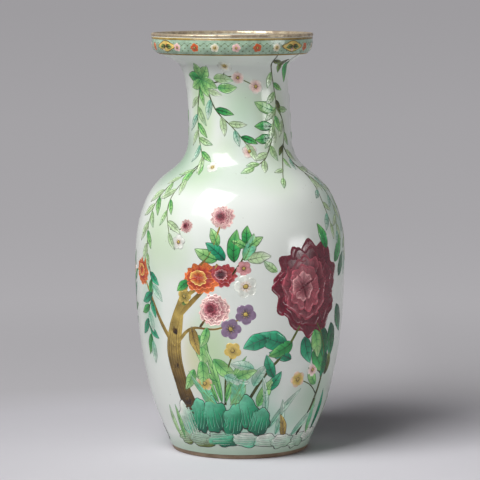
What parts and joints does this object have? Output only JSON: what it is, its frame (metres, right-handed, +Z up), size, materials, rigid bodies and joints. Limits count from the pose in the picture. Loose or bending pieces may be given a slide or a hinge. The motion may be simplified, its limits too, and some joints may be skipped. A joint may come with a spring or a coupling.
{
  "type": "baluster vase",
  "caption": "Tall baluster vase with a round shoulder, a slender neck, a dish-shaped mouth and a turned foot ring, for standing on a flat surface and holding flowers.",
  "frame": {"origin": "centre of the foot's underside, on the surface that the vase stands on", "axes": "+Z up along the foot's axis, +X to the right and -Y towards the viewer of the picture"},
  "size_m": [0.2172, 0.2172, 0.43],
  "materials": {
    "glazed_porcelain": "clear glossy glaze with a faint green tone over white porcelain, painted over in enamels",
    "bare_foot": "unglazed fired clay, wiped and a little worn",
    "fired_slip": "matt fired slip",
    "lip_dressing": "thin brown and gilt dressing, rubbed at the edge",
    "green_enamel": "translucent glossy overglaze enamel, from blue-green to yellow-green",
    "rose_enamel": "opaque glossy overglaze enamel, from crimson to pale pink",
    "red_enamel": "thin satin iron-red and orange overglaze enamel",
    "ochre_enamel": "ochre and brown overglaze enamel",
    "outline_enamel": "thin dark line painting under the enamels"
  },
  "bodies": {
    "root": {"foot_ring": "bare_foot", "foot_joint_slip": "fired_slip", "lower_body": "glazed_porcelain", "belly_joint_slip": "fired_slip", "upper_body": "glazed_porcelain", "neck_joint_slip": "fired_slip", "neck_and_mouth": "glazed_porcelain", "lip_dressing": "lip_dressing"}
  },
  "joints": []
}
